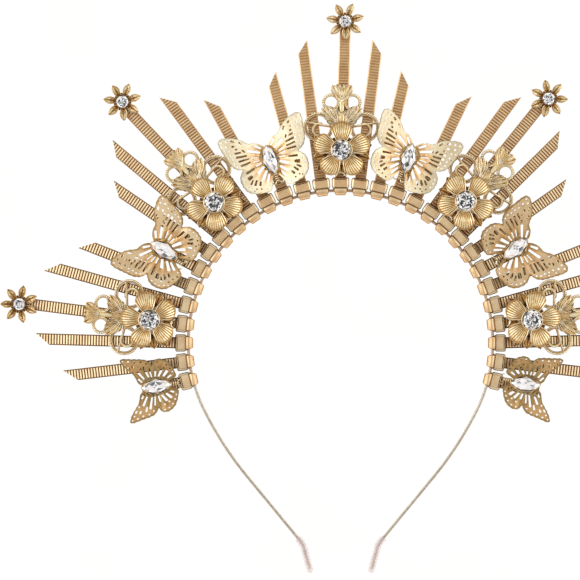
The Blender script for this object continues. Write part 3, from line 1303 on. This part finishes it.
def wingShape(kind, lift, tan):
    # Bends the flat wing: steep beside the stone, flatter outside, with raised veins
    flat, faces, margin = wings[kind]
    p = flat * [butterfly["stretch"], 1, 1]
    x, y = p[:, 0], p[:, 1]
    angle = np.degrees(np.arctan2(y, x + 2.0))
    reach = np.hypot(x, y)
    near = clipped(1 - (reach - 3) / 8.5)
    veins = 0.5 + 0.5 * np.cos(np.radians(angle * 360 / 13.0))
    bow = 0.9 * np.sin(np.pi * clipped(x / 18)) - 0.3
    fold = -0.35 * np.exp(-((angle + 3) / 7) ** 2) * clipped((x - 5) / 4)  # between the wings
    height = p[:, 2] + bow * 0.6 + 0.5 * near * (veins - 0.5) + fold
    made = np.stack([x, y, height], 1)
    made = turned(made, -lift, 1) + [0, butterfly["rootUp"], butterfly["rootHeight"]]
    made[:, 2] = np.maximum(made[:, 2], 0.05)
    outer = np.exp(-(margin / 0.28) ** 2)
    crease = np.clip(0.7 * near ** 1.3 * (1.2 - veins), 0, 0.36)
    hollow = crease + 0.16 + tan
    worn = 0.02 if tan < 0.1 else 0.78  # a fine grey line on pale wings, an olive rim on tan ones
    hollow = hollow + (worn - hollow) * 0.85 * outer
    top = butterfly["thickness"]
    cutEdge = clipped(0.6 + 0.3 * outer)
    hollow = np.where(p[:, 2] > top - 0.01, hollow, np.where(p[:, 2] > top - 0.12, cutEdge, 0.9))
    return Shape().add(made, faces, hollow)


def marquiseRing(grow, z, sides):
    stone = stoneCuts["marquise"]
    return [(*girdlePoint(turn, stone["half"] + 2 * grow, stone["wide"] + grow), z)
            for turn in fullTurn(sides)]


def stoneCup():
    h, sides = butterfly["cupHeight"], 48
    levels = [  # how far outside the stone, height, hollow
        (-0.6, 0, 0.6), (0.2, 0, 0.6), (0.24, 0.2, 0.35), (0.24, h - 0.3, 0.1),
        (0.2, h - 0.1, 0.05), (0.13, h - 0.03, 0.0), (0.06, h - 0.1, 0.1),
        (0.05, h - 0.5, 0.1), (-0.6, h - 1.4, 1)]
    points = [p for grow, z, _ in levels for p in marquiseRing(grow, z, sides)]
    faces = [f[::-1] for f in ringFaces(len(levels), sides)]
    faces += [tuple(range(sides)), tuple(range(len(points) - sides, len(points)))[::-1]]
    return Shape().add(points, faces, np.repeat([dark for *_, dark in levels], sides))


def bodyShape():
    made = Shape()
    ring = lathe([(0.01, -0.42), (0.75, -0.4), (1.02, -0.2), (1.08, 0.0), (1.02, 0.2), (0.75, 0.4),
                  (0.01, 0.42)], 18, hollow=[0.7, 0.6, 0.15, 0.0, 0.15, 0.6, 0.7])
    for i in range(4):
        size = 1.05 - 0.08 * i
        made.join(ring, lambda p, s=size, i=i: turned(p * [s, s, 1], 90, 0)
                  + [0, -6.25 - 0.88 * i, 1.05])
    made.join(tube([(0, -5.4, 0.9), (0, -7.5, 0.9), (0, -9.5, 0.8)], 0.6, 10, hollow=0.5))
    # Two feelers that curl out beside the body's end
    for side in (-1, 1):
        made.join(tube(smoothPath([(side * 0.4, -8.8, 0.9), (side * 1.2, -9.9, 1.0),
                                   (side * 1.9, -10.0, 1.1), (side * 2.2, -9.4, 1.2)], 5), 0.24, 8))
    return made


def makeButterflies():
    cup, body = stoneCup(), bodyShape()
    for n, (word, angle, radius, turn, stoneTurn, kind, left, right, tan) in enumerate(
            butterflyPlaces):
        whole = Shape().join(cup, lambda p: turned(p, -stoneTurn)).join(body).browner(0.15)
        whole.join(mirrored(wingShape(kind, left, tan))).join(wingShape(kind, right, tan))
        shape = Shape().join(whole, placed(angle, radius, crown["deckHeight"], turn))
        addPiece("butterfly" + word, shape, "pierced_gold", ["butterfly_" + nodeWord(word)])
        shape = Shape().join(cutStone(51 + n, **stoneCuts["marquise"]), placed(
            angle, radius, crown["deckHeight"] + stoneLifts["marquise"], turn + stoneTurn))
        addPiece("marquiseStone" + word, shape, "crystal", ["marquise_stone_" + nodeWord(word)])
    print("butterflies made")


makeButterflies()


# Tip flowers

tip = {"petalFrom": 1.6, "petalTo": 7.9, "petalWidth": 3.1, "tilt": 9.0, "cupHeight": 2.6,
       "tan": 0.16}  # browner the further a flower stands to the side


def tipPetal():
    # A lance-shaped petal with a bright raised rim and a brown bed
    leaf, move = blade(tip["petalTo"], tip["petalWidth"], start=tip["petalFrom"], peak=0.55, z=0.6,
                       rows=24, columns=29, base=0.0, dark=0.04, rootDark=1.0, rimWidth=0.26,
                       rimLift=0.35, grooves=1, depth=0.25, edgeDark=0.8)
    return Shape().join(leaf, move)


def makeTipFlowers():
    petal = tipPetal()
    dots = np.array([(0, 4.3, 0.72, 1.0), (0, 5.2, 0.72, 1.0), (0, 6.0, 0.72, 0.8),
                     (0.6, 4.8, 0.66, 0.7), (-0.6, 4.8, 0.66, 0.7)])
    petal.join(beads(dots[:, :3], 0.36, dots[:, 3], hollow=0.7))
    petal = Shape().join(petal, lambda p: turned(p, tip["tilt"], 0))
    whole = grown(petal, ringTree, {"Count": 7, "First Angle": 0.0,
                                    "Material": materials["cast_gold"]})
    whole.join(cupShape(stoneCuts["tip"]["half"], tip["cupHeight"], 0.3, 0.6))
    # Brown washer that shows between the petals' roots
    whole.join(lathe([(0.01, 0.05), (3.5, 0.05), (3.65, 0.2), (3.65, 1.0), (3.4, 1.15),
                      (0.01, 1.15)], 32, hollow=0.95))
    for word, k, side, turn, beside, further in tipPlaces:
        shape = Shape().join(whole, onRay(k, side, beside, further, 0.0, turn))
        shape.browner(tip["tan"] * math.sin(math.radians(k * crown["strapAngle"])) ** 2)
        addPiece("tipFlower" + word, shape, "cast_gold", ["tip_flower_" + nodeWord(word)])
    print("tip flowers made,", len(whole.faces), "faces each")


makeTipFlowers()


# Floor, light and camera

stage = {  # in metres
    "viewWidth": 0.2357, "viewMiddle": (-0.02056, 0.02142), "aimHeight": 0.005,
    "lens": 400.0, "sensor": 36.0,  # in millimetres, as a camera has them
    "floorSize": 3.0, "floorGap": 0.00005,
    "worldColour": "#FBF8F4", "worldStrength": 0.68,
    "boxes": [  # name, place, size, watts
        ("leftBox", (-1.3, 0.15, 1.0), 1.4, 11.0), ("rightBox", (1.3, 0.15, 1.0), 1.4, 8.0)],
}


def makeStage():
    low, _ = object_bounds()
    bpy.ops.mesh.primitive_plane_add(size=stage["floorSize"],
                                     location=(0, 0, low.z - stage["floorGap"]))
    floor = bpy.context.object
    floor.name = "floor"
    floor.data.materials.append(makeFloor())
    floor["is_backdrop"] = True
    world = bpy.data.worlds.new("studio")
    world.use_nodes = True
    back = world.node_tree.nodes["Background"]
    back.inputs["Color"].default_value = linear(stage["worldColour"])
    back.inputs["Strength"].default_value = stage["worldStrength"]
    bpy.context.scene.world = world
    for name, place, size, watts in stage["boxes"]:
        light = bpy.data.lights.new(name, "AREA")
        light.shape = "SQUARE"
        light.size = size
        light.energy = watts
        lamp = addObject(name, light)
        lamp.location = place
        lamp.rotation_euler = (-Vector(place)).to_track_quat("-Z", "Y").to_euler()
    camera = bpy.data.cameras.new("camera")
    camera.lens = stage["lens"]
    camera.sensor_width = stage["sensor"]
    viewer = addObject("camera", camera)
    away = stage["viewWidth"] * camera.lens / camera.sensor_width
    viewer.location = (*stage["viewMiddle"], away + stage["aimHeight"])
    camera.clip_start, camera.clip_end = 0.01, 20.0
    bpy.context.scene.camera = viewer
    bpy.context.scene.view_settings.view_transform = "Standard"


makeStage()
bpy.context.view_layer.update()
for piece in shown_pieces():
    piece.data.calc_loop_triangles()
